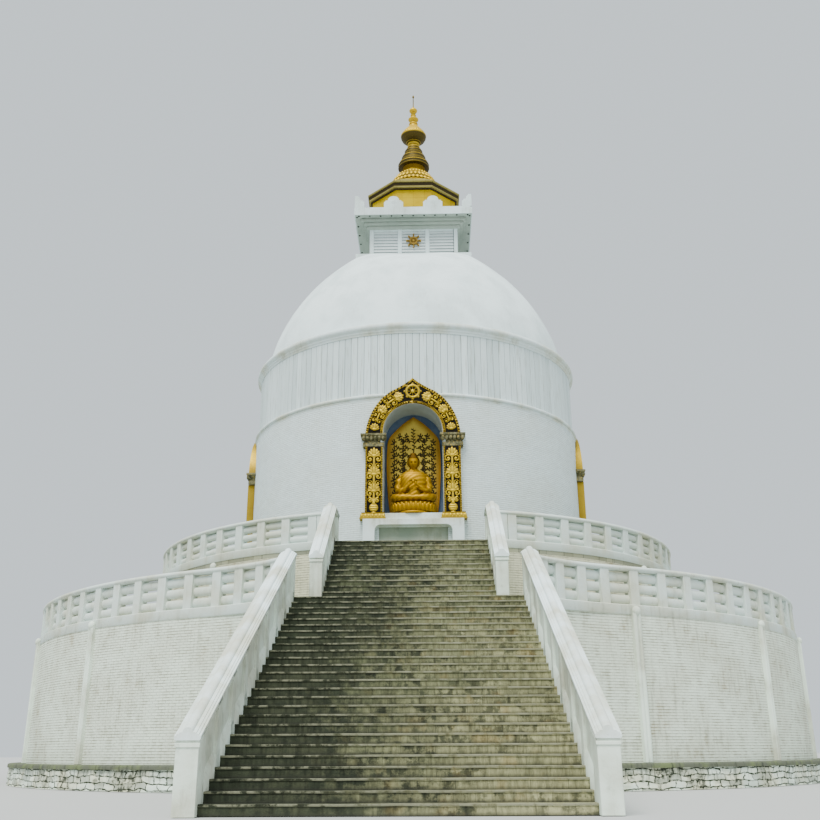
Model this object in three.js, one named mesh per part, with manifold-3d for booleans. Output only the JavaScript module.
// A hill-top stupa: two round terraces with parapets, a stair on the front, a drum with four niches,
// a dome and a gilded crown. Millimetres, +Z up, front towards -Y, origin on the ground at the stupa's axis.
import * as THREE from 'three';
import { mergeVertices } from 'three/addons/utils/BufferGeometryUtils.js';
import Module from 'manifold-3d';

const wasm = await Module();
wasm.setup();

// Driving dimensions of the stairs and terraces
const RISER = 180;
const TREAD = 335;
const LOWER_RISERS = 26;
const UPPER_RISERS = 11;
const UPPER_TREAD = 300;
const LOWER_FLOOR = LOWER_RISERS * RISER;
const UPPER_FLOOR = 6840;
const PLINTH_RADIUS = 14550;
const PLINTH_TOP = 650;
const LOWER_WALL_RADIUS = 14030;
const LOWER_WALL_TOP = 4380;
const UPPER_WALL_RADIUS = 10020;

// Driving dimensions of the flights and their side walls
const LOWER_FOOT_HALF_WIDTH = 3160;
const LOWER_HEAD_HALF_WIDTH = 2920;
const LOWER_SIDE = 370;
const LOWER_FOOT = -22750;
const LOWER_HEAD = -13500;
const LOWER_WALL_HEAD = -14250;
const UPPER_HALF_WIDTH = 2270;
const UPPER_SIDE = 330;
const UPPER_FOOT = -13890;
const UPPER_HEAD = -9600;
const UPPER_WALL_HEAD = -9750;
const POST_REACH = 150;
const LOWER_SIDE_RISE = 1050;
const UPPER_SIDE_RISE = 970;
const COPING_RISE = 200;
const COPING_LIP = 30;

// Driving dimensions of the flare that brings the lower wall forward to the stair
const FLARE_START = 5693;
const FLARE_BEND = new THREE.Vector2(4049, -13564);
const FLARE_END = -14460;

// Driving dimensions of the parapets
const PARAPET_DEPTH = 350;
const KERB_LIP = 20;
const LOWER_RAIL_TOP = 5700;
const UPPER_RAIL_TOP = 8040;
const KERB_HEIGHT = 265;
const RAIL_HEIGHT = 150;
const POST_WIDTH = 300;
const LOWER_BAYS = 78;
const FLARE_BAYS = 3;
const UPPER_BAYS = 60;
const LOWER_ARCS = 6;
const UPPER_ARCS = 4;

// Driving dimensions of the ribs on the lower wall
const RIB_COUNT = 16;
const RIB_PHASE = 3.1;
const RIB_WIDTH = 300;
const RIB_PROJECTION = 170;
const RIB_TOP = 4560;

// Driving dimensions of the main drum and dome
const DRUM_RADIUS = 6690;
const DRUM_TOP = 12870;
const RING_HEIGHT = 230;
const RING_OVERHANG = 70;
const BOARD_RADIUS = 6620;
const BOARD_TOP = 15470;
const SHOULDER_HEIGHT = 450;
const SHOULDER_OVERHANG = 160;
const DOME_RADIUS = 6340;
const DOME_RISE = 6500;
const DOME_POWER = 1.68;
const DOME_TOP = 20830;
const SEAT_START = 19800;
const SEAT_SHARE = 0.2;
const SEAT_POWER = 1.3;

// Driving dimensions of the niches
const NICHE_HALF_WIDTH = 1050;
const NICHE_SILL = 8440;
const NICHE_SPRING = 11600;
const NICHE_BACK = 5450;
const NICHE_FACE = 6775;
const FRAME_HALF_WIDTH = 1690;
const FRAME_TIP = 13640;
const CAPITAL_BOTTOM = 11050;
const CAPITAL_TOP = 11530;
const CAPITAL_FACE = 6820;
const CAPITAL_HALF_WIDTH = 1860;
const CAPITAL_LIP = 100;
const BASE_FACE = 6810;
const BASE_TOP = 8680;
const PEDESTAL_HALF_WIDTH = 1740;
const PEDESTAL_FACE = 6830;
const RECESS_HALF_WIDTH = 1330;
const RECESS_TOP = 8230;
const RECESS_DEPTH = 300;
const RECESS_CORNER = 200;
const NICHE_STEP_FACE = 6580;
const NICHE_STEP_TOP = 8690;
const THRONE_BOTTOM = 8770;
const FIGURE_FORWARD = 600;
const PANEL_BACK = 5460;
const PANEL_FACE = 5550;
const PANEL_TIP = 12550;

// Driving dimensions of the crown
const SLAB_HALF_WIDTH = 2495;
const SLAB_TOP = 21070;
const LOUVRE_HALF_WIDTH = 1930;
const LOUVRE_TOP = 22570;
const LOUVRE_POST = 180;
const LOUVRE_BAY_EDGE = 605;
const EMBLEM_RADIUS = 340;
const EMBLEM_HEIGHT = 21980;
const CORNICE_HALF_WIDTH = 2578;
const CORNICE_BOTTOM = 22950;
const CORNICE_TOP = 23280;
const CORBEL_STEPS = 3;
const CORNICE_LEDGE = 280;
const CREST_TOP = 23880;
const CREST_CORNER_TOP = 23930;
const CREST_HALF_WIDTH = 420;
const CREST_PLACE = 860;
const LANTERN_HALF_WIDTH = 1890;
const LANTERN_TOP = 24600;
const ROOF_HALF_WIDTH = 2100;
const ROOF_EDGE_TOP = 25000;
const SPIRE_BOTTOM = 25620;
const LOTUS_HEIGHT = 1030;
const NECK_HEIGHT = 270;
const TIP_HEIGHT = 31200;

// Gap between a piece and the neighbour that it is cut to fit
const FIT = 0.3;
const ROUND_SEGMENTS = 64;
const SMALL_SEGMENTS = 18;

const stupa = new THREE.Group();
stupa.name = 'stupa';

const plaster = new THREE.MeshStandardMaterial({ color: 0xe9e7e0, roughness: 0.85 });
const stone = new THREE.MeshStandardMaterial({ color: 0x6f6a58, roughness: 0.9 });
const darkStone = new THREE.MeshStandardMaterial({ color: 0x55534a, roughness: 0.9 });
const boards = new THREE.MeshStandardMaterial({ color: 0xdcd8cc, roughness: 0.8 });
const gold = new THREE.MeshStandardMaterial({ color: 0xc9962e, roughness: 0.35, metalness: 0.9 });
const louvre = new THREE.MeshStandardMaterial({ color: 0xd8d4c8, roughness: 0.7 });

// Turns a closed geometry into a solid
function solidOf(geometry) {
  const bare = geometry.clone();
  for (const name of ['normal', 'uv']) {
    bare.deleteAttribute(name);
  }
  const merged = mergeVertices(bare, 0.001);
  const vertProperties = new Float32Array(merged.attributes.position.array);
  const triVerts = new Uint32Array(merged.index.array);
  return new wasm.Manifold(new wasm.Mesh({ numProp: 3, vertProperties, triVerts }));
}

// Turns a solid back into a geometry
function geometryOf(solid) {
  const mesh = solid.getMesh();
  const geometry = new THREE.BufferGeometry();
  geometry.setAttribute('position', new THREE.BufferAttribute(new Float32Array(mesh.vertProperties), 3));
  geometry.setIndex(new THREE.BufferAttribute(new Uint32Array(mesh.triVerts), 1));
  geometry.computeVertexNormals();
  return geometry;
}

function join(geometries) {
  return geometries.map(solidOf).reduce((whole, piece) => whole.add(piece));
}

function addPiece(name, geometry, material, parent = stupa) {
  const mesh = new THREE.Mesh(geometry, material);
  mesh.name = name;
  parent.add(mesh);
  return mesh;
}

function box(x0, x1, y0, y1, z0, z1) {
  const geometry = new THREE.BoxGeometry(x1 - x0, y1 - y0, z1 - z0);
  return geometry.translate((x0 + x1) / 2, (y0 + y1) / 2, (z0 + z1) / 2);
}

// A solid of revolution about Z from [radius, height] points that start and end on the axis
function turned(points, segments = ROUND_SEGMENTS) {
  const profile = points.map(([radius, height]) => new THREE.Vector2(radius, height));
  return new THREE.LatheGeometry(profile, segments).rotateX(Math.PI / 2);
}

// A regular prism or pyramid whose flat sides lie at the given half widths, one of them towards the front
function faceted(points, sides) {
  const corner = 1 / Math.cos(Math.PI / sides);
  const stretched = points.map(([halfWidth, height]) => [halfWidth * corner, height]);
  return turned(stretched, sides).rotateZ(Math.PI / sides);
}

// A plan outline raised from one height to another
function raised(outline, z0, z1) {
  const geometry = new THREE.ExtrudeGeometry(new THREE.Shape(outline), { depth: z1 - z0, bevelEnabled: false });
  return geometry.translate(0, 0, z0);
}

// A side outline of [y, z] points carried across from x0 to x1
function across(outline, x0, x1) {
  const shape = new THREE.Shape(outline.map(([y, z]) => new THREE.Vector2(y, z)));
  const geometry = new THREE.ExtrudeGeometry(shape, { depth: x1 - x0, bevelEnabled: false });
  const basis = new THREE.Matrix4().makeBasis(
    new THREE.Vector3(0, 1, 0),
    new THREE.Vector3(0, 0, 1),
    new THREE.Vector3(1, 0, 0),
  );
  return geometry.applyMatrix4(basis).translate(x0, 0, 0);
}

// A front outline in X and Z carried back from a front face by a depth
function carriedBack(shape, face, depth, curveSegments = 8) {
  const geometry = new THREE.ExtrudeGeometry(shape, { depth, bevelEnabled: false, curveSegments });
  return geometry.rotateX(Math.PI / 2).translate(0, depth - face, 0);
}

// Plan position at an angle from the front, positive towards +X
function onCircle(radius, degrees) {
  const angle = THREE.MathUtils.degToRad(degrees);
  return new THREE.Vector2(radius * Math.sin(angle), -radius * Math.cos(angle));
}

function frontAngle(radius, x) {
  return THREE.MathUtils.radToDeg(Math.asin(x / radius));
}

// Half the lower flight's width, which narrows from its foot to its head
function lowerHalfWidth(y) {
  return THREE.MathUtils.mapLinear(y, LOWER_FOOT, LOWER_HEAD, LOWER_FOOT_HALF_WIDTH, LOWER_HEAD_HALF_WIDTH);
}

// Where the outer faces of the lower side walls stand, with the fitting gap
function lowerOuterSide(y) {
  return lowerHalfWidth(y) + LOWER_SIDE + FIT;
}

// Draws a straight piece of the lower stair in with the flight, by moving its points across
function drawnIn(geometry) {
  const position = geometry.attributes.position;
  for (let index = 0; index < position.count; index += 1) {
    const x = position.getX(index);
    const shift = lowerHalfWidth(position.getY(index)) - LOWER_FOOT_HALF_WIDTH;
    position.setX(index, x + Math.sign(x) * shift);
  }
  geometry.computeVertexNormals();
  return geometry;
}

// The lower wall's plan, inset by a distance: most of a circle, with a flare to each side of the stair
function lowerOutline(inset) {
  const radius = LOWER_WALL_RADIUS - inset;
  const start = frontAngle(LOWER_WALL_RADIUS, FLARE_START);
  const flareEnd = FLARE_END + inset;
  const flare = new THREE.QuadraticBezierCurve(
    onCircle(radius, start),
    FLARE_BEND.clone().add(new THREE.Vector2(inset * 0.35, inset * 0.9)),
    new THREE.Vector2(lowerOuterSide(flareEnd), flareEnd),
  );
  const right = flare.getPoints(6).reverse();
  const round = [];
  for (let step = 1; step < ROUND_SEGMENTS; step += 1) {
    round.push(onCircle(radius, start + ((360 - 2 * start) * step) / ROUND_SEGMENTS));
  }
  const left = right.map((point) => new THREE.Vector2(-point.x, point.y)).reverse();
  const head = LOWER_HEAD + FIT;
  const notch = [new THREE.Vector2(-lowerOuterSide(head), head), new THREE.Vector2(lowerOuterSide(head), head)];
  return [...right, ...round, ...left, ...notch];
}

// A slim upright rib with a rounded top, at an angle from the front
function rib(degrees) {
  const shape = new THREE.Shape();
  const half = RIB_WIDTH / 2;
  shape.moveTo(-half, PLINTH_TOP);
  shape.lineTo(half, PLINTH_TOP);
  shape.lineTo(half, RIB_TOP);
  shape.absarc(0, RIB_TOP, half, 0, Math.PI, false);
  shape.closePath();
  const depth = RIB_PROJECTION + PARAPET_DEPTH / 4;
  const geometry = carriedBack(shape, LOWER_WALL_RADIUS + RIB_PROJECTION, depth, 4);
  return geometry.rotateZ(THREE.MathUtils.degToRad(degrees));
}

function makePlinth() {
  const disc = solidOf(turned([[0, 0], [PLINTH_RADIUS, 0], [PLINTH_RADIUS, PLINTH_TOP], [0, PLINTH_TOP]]));
  const outline = [];
  const head = LOWER_HEAD + FIT;
  for (const [direction, y] of [[-1, head], [-1, LOWER_FOOT], [1, LOWER_FOOT], [1, head]]) {
    outline.push(new THREE.Vector2(direction * lowerOuterSide(y), y));
  }
  const notch = solidOf(raised(outline, -RISER, PLINTH_TOP + RISER));
  addPiece('stone_plinth', geometryOf(disc.subtract(notch)), darkStone);
}

function makeLowerDrum() {
  const wall = solidOf(raised(lowerOutline(0), PLINTH_TOP, LOWER_WALL_TOP));
  const floor = solidOf(raised(lowerOutline(PARAPET_DEPTH + 10), LOWER_WALL_TOP, LOWER_FLOOR));
  const half = PARAPET_DEPTH / 2 + FIT;
  const kerbRoom = [
    [-half, LOWER_WALL_TOP],
    [half, LOWER_WALL_TOP],
    [half, LOWER_FLOOR + RISER],
    [-half, LOWER_FLOOR + RISER],
  ];
  let drum = wall.add(floor);
  const clear = frontAngle(LOWER_WALL_RADIUS, FLARE_START);
  for (let index = 0; index < RIB_COUNT; index += 1) {
    const degrees = RIB_PHASE + (360 * index) / RIB_COUNT;
    if (degrees > clear && degrees < 360 - clear) {
      drum = drum.add(solidOf(rib(degrees)));
    }
  }
  drum = drum.subtract(solidOf(sweptWall(lowerStations(), kerbRoom)));
  addPiece('lower_drum', geometryOf(drum), plaster);
}

function makeUpperDrum() {
  const side = UPPER_HALF_WIDTH + UPPER_SIDE + FIT;
  const radius = UPPER_WALL_RADIUS;
  const points = [[0, LOWER_FLOOR], [radius, LOWER_FLOOR], [radius, UPPER_FLOOR], [0, UPPER_FLOOR]];
  const notch = box(-side, side, -2 * radius, UPPER_HEAD + FIT, LOWER_FLOOR - RISER, UPPER_FLOOR + RISER);
  addPiece('upper_drum', geometryOf(solidOf(turned(points)).subtract(solidOf(notch))), plaster);
}

// The parapet's section as [outward offset, height] points: kerb, thinner infill and overhanging rail
function parapetSection(bottom, top) {
  const half = PARAPET_DEPTH / 2;
  const kerbTop = bottom + KERB_HEIGHT;
  const railBottom = top - RAIL_HEIGHT;
  return [
    [-half, bottom],
    [half, bottom],
    [half, kerbTop],
    [half - 110, kerbTop],
    [half - 110, railBottom],
    [half, railBottom],
    [half, top],
    [-half, top],
  ];
}

// A section swept along plan stations, each with a point and an outward direction, with flat ends
function sweptWall(stations, section) {
  const count = section.length;
  const positions = [];
  for (const { point, outward } of stations) {
    for (const [offset, height] of section) {
      positions.push(point.x + outward.x * offset, point.y + outward.y * offset, height);
    }
  }
  const index = [];
  for (let station = 0; station + 1 < stations.length; station += 1) {
    for (let corner = 0; corner < count; corner += 1) {
      const a = station * count + corner;
      const b = station * count + ((corner + 1) % count);
      index.push(a, a + count, b, b, a + count, b + count);
    }
  }
  const outline = section.map(([offset, height]) => new THREE.Vector2(offset, height));
  const last = (stations.length - 1) * count;
  for (const [a, b, c] of THREE.ShapeUtils.triangulateShape(outline, [])) {
    index.push(a, b, c, last + a, last + c, last + b);
  }
  const geometry = new THREE.BufferGeometry();
  geometry.setAttribute('position', new THREE.BufferAttribute(new Float32Array(positions), 3));
  geometry.setIndex(index);
  return geometry;
}

function postAt({ point, outward }, bottom, top) {
  const depth = PARAPET_DEPTH - 24;
  const half = POST_WIDTH / 2;
  const geometry = box(-half, half, -depth / 2, depth / 2, bottom + KERB_HEIGHT - 20, top - 100);
  const turn = Math.atan2(outward.y, outward.x) + Math.PI / 2;
  return geometry.rotateZ(turn).translate(point.x, point.y, 0);
}

// One stretch of parapet, from one post to another, with a post at every station
function parapetArc(name, stations, bottom, top) {
  let wall = solidOf(sweptWall(stations, parapetSection(bottom, top)));
  for (const station of stations.slice(0, -1)) {
    const shifted = station === stations[0] ? shiftedStation(stations[0], stations[1]) : station;
    wall = wall.add(solidOf(postAt(shifted, bottom, top)));
  }
  const end = stations.length - 1;
  wall = wall.add(solidOf(postAt(shiftedStation(stations[end], stations[end - 1]), bottom, top)));
  addPiece(name, geometryOf(wall), plaster);
}

// The station moved towards its neighbour by half a post, so that the post ends inside the stretch
function shiftedStation(station, neighbour) {
  const step = neighbour.point.clone().sub(station.point).setLength(POST_WIDTH / 2 + 20);
  return { point: station.point.clone().add(step), outward: station.outward };
}

function roundStations(radius, start, end, bays) {
  const stations = [];
  for (let bay = 0; bay <= bays; bay += 1) {
    const degrees = start + ((end - start) * bay) / bays;
    stations.push({ point: onCircle(radius, degrees), outward: onCircle(1, degrees) });
  }
  return stations;
}

// Stations along the flare, from the stair to the round part
function flareStations(radius, start) {
  const inset = PARAPET_DEPTH / 2 - KERB_LIP;
  const flareEnd = FLARE_END + inset + 40;
  const curve = new THREE.QuadraticBezierCurve(
    new THREE.Vector2(lowerOuterSide(FLARE_END) + PARAPET_DEPTH / 2 + 5, flareEnd),
    FLARE_BEND.clone().add(new THREE.Vector2(inset * 0.35, inset * 0.9)),
    onCircle(radius, start),
  );
  const stations = [];
  for (let bay = 0; bay < FLARE_BAYS; bay += 1) {
    const tangent = curve.getTangentAt(bay / FLARE_BAYS);
    const outward = new THREE.Vector2(tangent.y, -tangent.x);
    stations.push({ point: curve.getPointAt(bay / FLARE_BAYS), outward });
  }
  return stations;
}

// Stretches of parapet with a hairline joint between them
function makeParapet(name, stations, arcs, bottom, top) {
  const bays = stations.length - 1;
  for (let arc = 0; arc < arcs; arc += 1) {
    const first = Math.round((bays * arc) / arcs);
    const last = Math.round((bays * (arc + 1)) / arcs);
    const kept = stations.slice(first, last + 1);
    const stretch = kept.map(({ point, outward }) => ({ point: point.clone(), outward }));
    const pull = stretch[1].point.clone().sub(stretch[0].point).setLength(FIT);
    stretch[0].point.add(pull);
    parapetArc(`${name}_${arc + 1}`, stretch, bottom, top);
  }
}

// Stations of the whole lower parapet, from the right flare round to the left one
function lowerStations() {
  const radius = LOWER_WALL_RADIUS + KERB_LIP - PARAPET_DEPTH / 2;
  const start = frontAngle(LOWER_WALL_RADIUS, FLARE_START);
  const flare = flareStations(radius, start);
  const mirrored = flare.map(({ point, outward }) => ({
    point: new THREE.Vector2(-point.x, point.y),
    outward: new THREE.Vector2(-outward.x, outward.y),
  }));
  return [...flare, ...roundStations(radius, start, 360 - start, LOWER_BAYS), ...mirrored.reverse()];
}

function makeLowerParapet() {
  makeParapet('lower_parapet', lowerStations(), LOWER_ARCS, LOWER_WALL_TOP, LOWER_RAIL_TOP);
}

function makeUpperParapet() {
  const radius = UPPER_WALL_RADIUS + KERB_LIP - PARAPET_DEPTH / 2;
  const start = frontAngle(radius - PARAPET_DEPTH / 2, UPPER_HALF_WIDTH + UPPER_SIDE + 2);
  const stations = roundStations(radius, start, 360 - start, UPPER_BAYS);
  makeParapet('upper_parapet', stations, UPPER_ARCS, UPPER_FLOOR, UPPER_RAIL_TOP);
}

// A flight as one stepped block from its foot back to its head
function flight({ foot, head, floor, top, risers, tread }) {
  const riser = (top - floor) / risers;
  const outline = [[foot, floor]];
  for (let step = 0; step < risers; step += 1) {
    const nosing = foot + step * tread;
    outline.push([nosing, floor + (step + 1) * riser]);
    if (step + 1 < risers) {
      outline.push([nosing + tread, floor + (step + 1) * riser]);
    }
  }
  outline.push([head, top], [head, floor]);
  return outline;
}

// One stair: its flight, and its side walls from a front post up to a raised head, with sloped copings
function makeStair(level, stair) {
  const { halfWidth, side, sideRise, foot, head, wallHead, floor, top, risers, tread, shaped } = stair;
  const width = halfWidth - FIT;
  addPiece(`${level}_flight`, shaped(across(flight(stair), -width, width)), stone);
  const front = foot - POST_REACH;
  const riser = (top - floor) / risers;
  const topNosing = foot + (risers - 1) * tread;
  const above = (y, rise) => {
    const nosing = floor + riser + ((Math.min(y, topNosing) - foot) * riser) / tread;
    return [y, nosing + sideRise + rise];
  };
  const wall = [
    [front, floor],
    [head, floor],
    [head, top],
    [wallHead, top],
    above(wallHead, 0),
    above(topNosing, 0),
    above(front, 0),
  ];
  const gap = FIT * 1.5;
  const coping = [
    above(front - COPING_LIP, gap),
    above(topNosing, gap),
    above(wallHead, gap),
    above(wallHead, COPING_RISE),
    above(topNosing, COPING_RISE),
    above(front - COPING_LIP, COPING_RISE),
  ];
  for (const [sideName, direction] of [['right', 1], ['left', -1]]) {
    const inner = direction * halfWidth;
    const outer = direction * (halfWidth + side);
    const x0 = Math.min(inner, outer);
    const x1 = Math.max(inner, outer);
    addPiece(`${level}_stair_wall_${sideName}`, shaped(across(wall, x0, x1)), plaster);
    const cap = across(coping, x0 - COPING_LIP, x1 + COPING_LIP);
    addPiece(`${level}_coping_${sideName}`, shaped(cap), plaster);
  }
}

// The niche's opening as an outline in X and Z, with a round head
function nicheShape(halfWidth, sill, spring) {
  const shape = new THREE.Shape();
  shape.moveTo(-halfWidth, sill);
  shape.lineTo(halfWidth, sill);
  shape.lineTo(halfWidth, spring);
  shape.absarc(0, spring, halfWidth, 0, Math.PI, false);
  shape.closePath();
  return shape;
}

// The shallow recess in the front of each pedestal, with rounded top corners
function recessShape() {
  const shape = new THREE.Shape();
  const half = RECESS_HALF_WIDTH;
  const corner = RECESS_CORNER;
  shape.moveTo(-half, UPPER_FLOOR - RISER);
  shape.lineTo(half, UPPER_FLOOR - RISER);
  shape.lineTo(half, RECESS_TOP - corner);
  shape.absarc(half - corner, RECESS_TOP - corner, corner, 0, Math.PI / 2, false);
  shape.lineTo(corner - half, RECESS_TOP);
  shape.absarc(corner - half, RECESS_TOP - corner, corner, Math.PI / 2, Math.PI, false);
  shape.closePath();
  return shape;
}

function makeMainDrum() {
  const points = [[0, UPPER_FLOOR], [DRUM_RADIUS, UPPER_FLOOR], [DRUM_RADIUS, DRUM_TOP], [0, DRUM_TOP]];
  let drum = solidOf(turned(points));
  for (let quarter = 0; quarter < 4; quarter += 1) {
    const turn = (quarter * Math.PI) / 2;
    const half = PEDESTAL_HALF_WIDTH;
    const pedestal = box(-half, half, -PEDESTAL_FACE, -NICHE_BACK, UPPER_FLOOR, NICHE_SILL).rotateZ(turn);
    drum = drum.add(solidOf(pedestal));
  }
  for (let quarter = 0; quarter < 4; quarter += 1) {
    const turn = (quarter * Math.PI) / 2;
    const half = NICHE_HALF_WIDTH + 1;
    const shape = nicheShape(NICHE_HALF_WIDTH, NICHE_SILL, NICHE_SPRING);
    const depth = PEDESTAL_FACE + RISER - NICHE_BACK;
    const niche = carriedBack(shape, PEDESTAL_FACE + RISER, depth, 10).rotateZ(turn);
    const recess = carriedBack(recessShape(), PEDESTAL_FACE + RISER, RISER + RECESS_DEPTH, 3).rotateZ(turn);
    const step = box(-half, half, -NICHE_STEP_FACE, 1 - NICHE_BACK, NICHE_SILL - 1, NICHE_STEP_TOP).rotateZ(turn);
    drum = drum.subtract(solidOf(niche)).subtract(solidOf(recess)).add(solidOf(step));
  }
  addPiece('main_drum', geometryOf(drum), plaster);
}

// A moulding of a plain fillet under a half-round roll, as profile points from the axis and back
function mouldingProfile(radius, overhang, z0, z1) {
  const fillet = radius + overhang * 0.35;
  const roll = (z1 - z0) * 0.3;
  const profile = [[0, z0], [fillet, z0], [fillet, z1 - 2 * roll]];
  for (const angle of [-0.3, 0, 0.3]) {
    const out = overhang * Math.cos(angle * Math.PI);
    profile.push([radius + out, z1 - roll + roll * Math.sin(angle * Math.PI)]);
  }
  profile.push([radius, z1], [0, z1]);
  return profile;
}

function makeDrumBands() {
  const ringTop = DRUM_TOP + RING_HEIGHT;
  const shoulderTop = BOARD_TOP + SHOULDER_HEIGHT;
  addPiece('drum_ring', turned(mouldingProfile(BOARD_RADIUS + 70, RING_OVERHANG, DRUM_TOP, ringTop)), plaster);
  const band = [[0, ringTop], [BOARD_RADIUS, ringTop], [BOARD_RADIUS, BOARD_TOP], [0, BOARD_TOP]];
  addPiece('board_band', turned(band), boards);
  const shoulder = mouldingProfile(BOARD_RADIUS, SHOULDER_OVERHANG, BOARD_TOP, shoulderTop);
  addPiece('shoulder_ring', turned(shoulder), plaster);
}

// Dome radius at a height above its spring, on a superellipse
function domeRadius(rise) {
  return DOME_RADIUS * (1 - (rise / DOME_RISE) ** DOME_POWER) ** (1 / DOME_POWER);
}

// Draws the dome's top metre in towards the slab's four sides, so that its plan turns into a rounded square
function squaredTop(geometry) {
  const place = geometry.getAttribute('position');
  for (let index = 0; index < place.count; index += 1) {
    const x = place.getX(index);
    const y = place.getY(index);
    const climb = Math.max(0, (place.getZ(index) - SEAT_START) / (DOME_TOP - SEAT_START));
    const factor = 1 - SEAT_SHARE * climb ** SEAT_POWER * Math.cos(2 * Math.atan2(x, -y)) ** 2;
    place.setXY(index, x * factor, y * factor);
  }
  return geometry;
}

function makeDome() {
  const spring = BOARD_TOP + SHOULDER_HEIGHT;
  const steps = 12;
  const points = [[0, spring]];
  for (let step = 0; step <= steps; step += 1) {
    const rise = ((DOME_TOP - spring) * step) / steps;
    points.push([domeRadius(rise), spring + rise]);
  }
  points.push([0, DOME_TOP]);
  addPiece('dome', squaredTop(turned(points)), plaster);
}

// The niche frame's outer outline: plain sides under an arch with an ogee tip
function frameShape() {
  const shape = new THREE.Shape();
  shape.moveTo(-FRAME_HALF_WIDTH, NICHE_SILL);
  shape.lineTo(FRAME_HALF_WIDTH, NICHE_SILL);
  shape.lineTo(FRAME_HALF_WIDTH, CAPITAL_TOP);
  shape.bezierCurveTo(FRAME_HALF_WIDTH - 50, 12180, 1240, 12900, 700, 13170);
  shape.bezierCurveTo(450, 13300, 150, 13480, 0, FRAME_TIP);
  shape.bezierCurveTo(-150, 13480, -450, 13300, -700, 13170);
  shape.bezierCurveTo(-1240, 12900, 50 - FRAME_HALF_WIDTH, 12180, -FRAME_HALF_WIDTH, CAPITAL_TOP);
  shape.closePath();
  return shape;
}

// Everything behind the niche frames, with the fitting gap added
function drumWithGap() {
  const ringTop = DRUM_TOP + RING_HEIGHT;
  const below = RISER;
  const drum = solidOf(turned([
    [0, UPPER_FLOOR - below],
    [DRUM_RADIUS + FIT, UPPER_FLOOR - below],
    [DRUM_RADIUS + FIT, ringTop],
    [BOARD_RADIUS + FIT, ringTop],
    [BOARD_RADIUS + FIT, BOARD_TOP],
    [0, BOARD_TOP],
  ]));
  const ring = mouldingProfile(BOARD_RADIUS + 70 + FIT, RING_OVERHANG, DRUM_TOP - FIT, ringTop + FIT);
  return drum.add(solidOf(turned(ring)));
}

function makeNicheFrames(names) {
  const gapBody = drumWithGap();
  const depth = NICHE_FACE - 6200;
  const plate = solidOf(carriedBack(frameShape(), NICHE_FACE, depth, 5));
  const opening = nicheShape(NICHE_HALF_WIDTH, NICHE_SILL - RISER, NICHE_SPRING);
  let frame = plate.subtract(solidOf(carriedBack(opening, NICHE_FACE + RISER, depth + 2 * RISER, 10)));
  const back = -6200;
  for (const direction of [-1, 1]) {
    const span = (inner, outer) => [direction * inner, direction * outer].sort((a, b) => a - b);
    const [x0, x1] = span(NICHE_HALF_WIDTH - CAPITAL_LIP, CAPITAL_HALF_WIDTH);
    frame = frame.add(solidOf(box(x0, x1, -CAPITAL_FACE, back, CAPITAL_BOTTOM, CAPITAL_TOP)));
    frame = frame.add(solidOf(box(x0, x1, -BASE_FACE, back, NICHE_SILL + FIT, BASE_TOP)));
  }
  const reach = 2 * FRAME_HALF_WIDTH;
  const sill = box(-reach, reach, -8000, back + 1, NICHE_SILL - RISER, NICHE_SILL + FIT);
  frame = frame.subtract(solidOf(sill)).subtract(gapBody);
  const geometry = geometryOf(frame);
  names.forEach((side, quarter) => {
    const group = new THREE.Group();
    group.rotation.z = (quarter * Math.PI) / 2;
    stupa.add(group);
    addPiece(`niche_frame_${side}`, geometry.clone(), gold, group);
  });
}

function ball(x, y, z, rx, ry, rz, wide = 8, high = 5) {
  const geometry = new THREE.SphereGeometry(1, wide, high).rotateX(Math.PI / 2);
  return geometry.scale(rx, ry, rz).translate(x, y, z);
}

// A tapered limb between two points
function limb(from, to, radiusFrom, radiusTo) {
  const axis = to.clone().sub(from);
  const geometry = new THREE.CylinderGeometry(radiusTo, radiusFrom, axis.length(), 6);
  const turn = new THREE.Quaternion().setFromUnitVectors(new THREE.Vector3(0, 1, 0), axis.clone().normalize());
  const middle = from.clone().add(to).multiplyScalar(0.5);
  return geometry.applyQuaternion(turn).translate(middle.x, middle.y, middle.z);
}

// The pointed panel behind the figure, widening up to its shoulders and then drawn in to its tip
function backPanel() {
  const half = [
    [820, NICHE_STEP_TOP],
    [900, 9200],
    [940, 9690],
    [970, 10230],
    [985, 10720],
    [970, 11210],
    [915, 11670],
    [660, 12010],
    [330, 12320],
  ];
  const right = half.map(([x, z]) => new THREE.Vector2(x, z - THRONE_BOTTOM));
  const left = right.map(({ x, y }) => new THREE.Vector2(-x, y)).reverse();
  const outline = [...right, new THREE.Vector2(0, PANEL_TIP - THRONE_BOTTOM), ...left];
  const centre = NICHE_BACK + FIGURE_FORWARD;
  return carriedBack(new THREE.Shape(outline), PANEL_FACE - centre, PANEL_FACE - PANEL_BACK);
}

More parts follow.
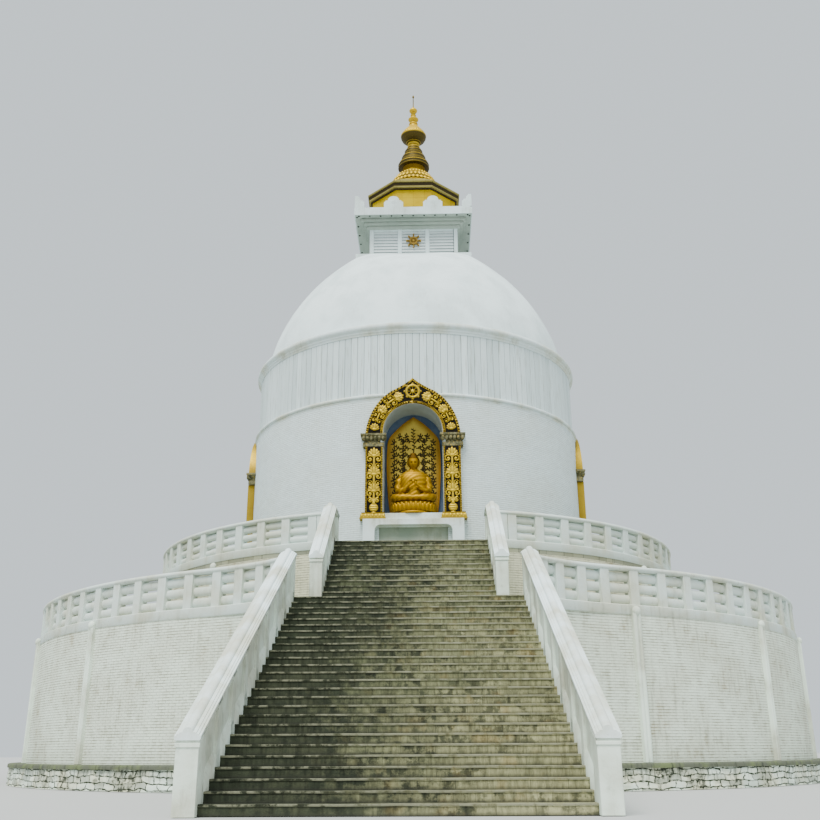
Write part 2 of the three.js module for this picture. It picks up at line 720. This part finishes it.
// A calm seated figure with hands at the chest, on a lotus throne before a pointed panel, facing -Y
function seatedFigure() {
  const foot = NICHE_STEP_TOP - THRONE_BOTTOM;
  const throne = turned([[0, 0], [740, 0], [800, 60], [840, 320], [800, 400], [700, 440], [0, 440]], 14);
  const base = turned([[0, foot], [560, foot], [560, 20], [0, 20]], 14);
  const pieces = [
    throne.scale(1, 0.7, 1),
    base,
    backPanel(),
    ball(0, -40, 560, 840, 490, 180, 10, 5),
    ball(0, 60, 1000, 370, 240, 540),
    ball(0, 50, 1310, 530, 230, 230),
    limb(new THREE.Vector3(0, 40, 1400), new THREE.Vector3(0, 20, 1680), 135, 120),
    ball(0, 0, 1880, 222, 240, 300),
    ball(0, 20, 2175, 110, 110, 110, 6, 4),
  ];
  for (const side of [-1, 1]) {
    const shoulder = new THREE.Vector3(side * 470, 50, 1330);
    const elbow = new THREE.Vector3(side * 530, -60, 860);
    const hand = new THREE.Vector3(side * 70, -330, 1010);
    pieces.push(limb(shoulder, elbow, 125, 115));
    pieces.push(limb(elbow, hand, 110, 65));
    pieces.push(ball(hand.x, hand.y, hand.z + 20, 90, 70, 110, 6, 4));
  }
  return geometryOf(join(pieces));
}

function makeFigures(names) {
  const geometry = seatedFigure();
  names.forEach((side, quarter) => {
    const group = new THREE.Group();
    group.rotation.z = (quarter * Math.PI) / 2;
    stupa.add(group);
    const figure = addPiece(`seated_figure_${side}`, geometry.clone(), gold, group);
    figure.position.set(0, -NICHE_BACK - FIGURE_FORWARD, THRONE_BOTTOM);
  });
}

// The louvred box with its corner and middle posts and the emblem on each side
function makeLouvreBox() {
  const half = LOUVRE_HALF_WIDTH;
  const core = half - 90;
  const pieces = [faceted([[0, SLAB_TOP], [core, SLAB_TOP], [core, LOUVRE_TOP], [0, LOUVRE_TOP]], 4)];
  const postHalf = LOUVRE_POST / 2;
  for (let quarter = 0; quarter < 4; quarter += 1) {
    const turn = (quarter * Math.PI) / 2;
    for (const x of [-LOUVRE_BAY_EDGE, LOUVRE_BAY_EDGE]) {
      pieces.push(box(x - postHalf, x + postHalf, -half, 60 - core, SLAB_TOP, LOUVRE_TOP).rotateZ(turn));
    }
    pieces.push(box(-half, LOUVRE_POST - half, -half, LOUVRE_POST - half, SLAB_TOP, LOUVRE_TOP).rotateZ(turn));
    const emblem = new THREE.CylinderGeometry(EMBLEM_RADIUS, EMBLEM_RADIUS, 170, 16).translate(0, half - 45, 0);
    pieces.push(emblem.translate(0, 0, EMBLEM_HEIGHT).rotateZ(turn));
  }
  addPiece('louvre_box', geometryOf(join(pieces)), louvre);
}

// Square slab on stepped corbels
function makeCrownCornice() {
  const points = [[0, LOUVRE_TOP]];
  const out = (CORNICE_HALF_WIDTH - CORNICE_LEDGE - LOUVRE_HALF_WIDTH) / CORBEL_STEPS;
  const up = (CORNICE_BOTTOM - LOUVRE_TOP) / CORBEL_STEPS;
  for (let step = 0; step < CORBEL_STEPS; step += 1) {
    const reach = LOUVRE_HALF_WIDTH + out * (step + 1);
    points.push([reach, LOUVRE_TOP + up * step], [reach, LOUVRE_TOP + up * (step + 1)]);
  }
  points.push([CORNICE_HALF_WIDTH, CORNICE_BOTTOM], [CORNICE_HALF_WIDTH, CORNICE_TOP], [0, CORNICE_TOP]);
  addPiece('crown_cornice', faceted(points, 4), plaster);
}

// Half of a crest ornament seen from the front, from its axis outwards: square shoulders under a round head
function crestHalf(halfWidth, bottom, top) {
  const height = top - bottom;
  const shoulder = bottom + height * 0.64;
  const spring = bottom + height * 0.7;
  const head = halfWidth * 0.66;
  const points = [[0, bottom], [halfWidth, bottom], [halfWidth, shoulder], [halfWidth * 0.78, spring]];
  for (let step = 0; step <= 3; step += 1) {
    const angle = (step * Math.PI) / 6;
    points.push([Math.cos(angle) * head, spring + Math.sin(angle) * (top - spring)]);
  }
  return points.map(([x, z]) => new THREE.Vector2(x, z));
}

function makeCrest() {
  const half = CORNICE_HALF_WIDTH - 10;
  const depth = 160;
  const rimTop = CORNICE_TOP + 40;
  const outer = solidOf(faceted([[0, CORNICE_TOP], [half, CORNICE_TOP], [half, rimTop], [0, rimTop]], 4));
  const inner = solidOf(faceted([[0, 0], [half - depth, 0], [half - depth, 2 * rimTop], [0, 2 * rimTop]], 4));
  let crest = outer.subtract(inner);
  for (let quarter = 0; quarter < 4; quarter += 1) {
    const turn = (quarter * Math.PI) / 2;
    const right = crestHalf(CREST_HALF_WIDTH, rimTop - 20, CREST_TOP);
    const left = right.slice(1, -1).map(({ x, y }) => new THREE.Vector2(-x, y)).reverse();
    for (const x of [-CREST_PLACE, CREST_PLACE]) {
      const ornament = carriedBack(new THREE.Shape([...right, ...left]), half - 10, depth - 20);
      crest = crest.add(solidOf(ornament.translate(x, 0, 0).rotateZ(turn)));
    }
    for (const direction of [-1, 1]) {
      const points = crestHalf(CREST_HALF_WIDTH, rimTop - 20, CREST_CORNER_TOP);
      const placed = points.map(({ x, y }) => new THREE.Vector2(direction * (half - 10 - x), y));
      const corner = carriedBack(new THREE.Shape(placed), half - 10, depth - 20);
      crest = crest.add(solidOf(corner.rotateZ(turn)));
    }
  }
  addPiece('crest', geometryOf(crest), plaster);
}

function makeCrown() {
  const half = SLAB_HALF_WIDTH;
  addPiece('crown_base', faceted([[0, DOME_TOP], [half, DOME_TOP], [half, SLAB_TOP], [0, SLAB_TOP]], 4), plaster);
  makeLouvreBox();
  makeCrownCornice();
  makeCrest();
  const wall = LANTERN_HALF_WIDTH;
  const lantern = [[0, CORNICE_TOP], [wall, CORNICE_TOP], [wall, LANTERN_TOP], [0, LANTERN_TOP]];
  addPiece('lantern', faceted(lantern, 8), gold);
  const edge = ROOF_HALF_WIDTH;
  const roof = [
    [0, LANTERN_TOP],
    [edge - 110, LANTERN_TOP],
    [edge - 110, LANTERN_TOP + 190],
    [edge - 40, LANTERN_TOP + 240],
    [edge, LANTERN_TOP + 300],
    [edge, ROOF_EDGE_TOP],
    [1250, SPIRE_BOTTOM],
    [0, SPIRE_BOTTOM],
  ];
  addPiece('lantern_roof', faceted(roof, 8), gold);
}

function makeSpire() {
  const lotusTop = SPIRE_BOTTOM + LOTUS_HEIGHT;
  const lotus = [
    [0, SPIRE_BOTTOM],
    [1180, SPIRE_BOTTOM],
    [1210, SPIRE_BOTTOM + 120],
    [1150, SPIRE_BOTTOM + 370],
    [1025, SPIRE_BOTTOM + 560],
    [880, SPIRE_BOTTOM + 740],
    [750, SPIRE_BOTTOM + 880],
    [600, lotusTop],
    [0, lotusTop],
  ];
  addPiece('spire_lotus', turned(lotus, SMALL_SEGMENTS), gold);
  let height = lotusTop + NECK_HEIGHT;
  const rings = [[0, lotusTop], [530, lotusTop], [530, height]];
  for (const [radius, tall] of [[739, 410], [574, 390], [431, 340]]) {
    rings.push([radius - 70, height], [radius, height + tall * 0.3], [radius, height + tall * 0.7]);
    rings.push([radius - 70, height + tall]);
    height += tall;
  }
  rings.push([313, height], [280, height + 300], [0, height + 300]);
  addPiece('ringed_spire', turned(rings, SMALL_SEGMENTS), gold);
  const vaseBottom = height + 300;
  const vase = [
    [0, vaseBottom],
    [380, vaseBottom],
    [560, vaseBottom + 160],
    [615, vaseBottom + 390],
    [540, vaseBottom + 620],
    [360, vaseBottom + 850],
    [182, vaseBottom + 1090],
    [130, vaseBottom + 1250],
    [243, vaseBottom + 1350],
    [243, vaseBottom + 1420],
    [110, vaseBottom + 1540],
    [90, vaseBottom + 1700],
    [195, vaseBottom + 1880],
    [195, vaseBottom + 1960],
    [70, vaseBottom + 2120],
    [25, vaseBottom + 2250],
    [25, TIP_HEIGHT - 200],
    [60, TIP_HEIGHT - 120],
    [0, TIP_HEIGHT],
  ];
  addPiece('vase_finial', turned(vase, SMALL_SEGMENTS), gold);
}

const SIDES = ['front', 'right', 'back', 'left'];
makePlinth();
makeLowerDrum();
makeUpperDrum();
makeLowerParapet();
makeUpperParapet();
makeStair('lower', {
  halfWidth: LOWER_FOOT_HALF_WIDTH,
  side: LOWER_SIDE,
  sideRise: LOWER_SIDE_RISE,
  foot: LOWER_FOOT,
  head: LOWER_HEAD,
  wallHead: LOWER_WALL_HEAD,
  floor: 0,
  top: LOWER_FLOOR,
  risers: LOWER_RISERS,
  tread: TREAD,
  shaped: drawnIn,
});
makeStair('upper', {
  halfWidth: UPPER_HALF_WIDTH,
  side: UPPER_SIDE,
  sideRise: UPPER_SIDE_RISE,
  foot: UPPER_FOOT,
  head: UPPER_HEAD,
  wallHead: UPPER_WALL_HEAD,
  floor: LOWER_FLOOR,
  top: UPPER_FLOOR,
  risers: UPPER_RISERS,
  tread: UPPER_TREAD,
  shaped: (geometry) => geometry,
});
makeMainDrum();
makeDrumBands();
makeDome();
makeNicheFrames(SIDES);
makeFigures(SIDES);
makeCrown();
makeSpire();

export default stupa;
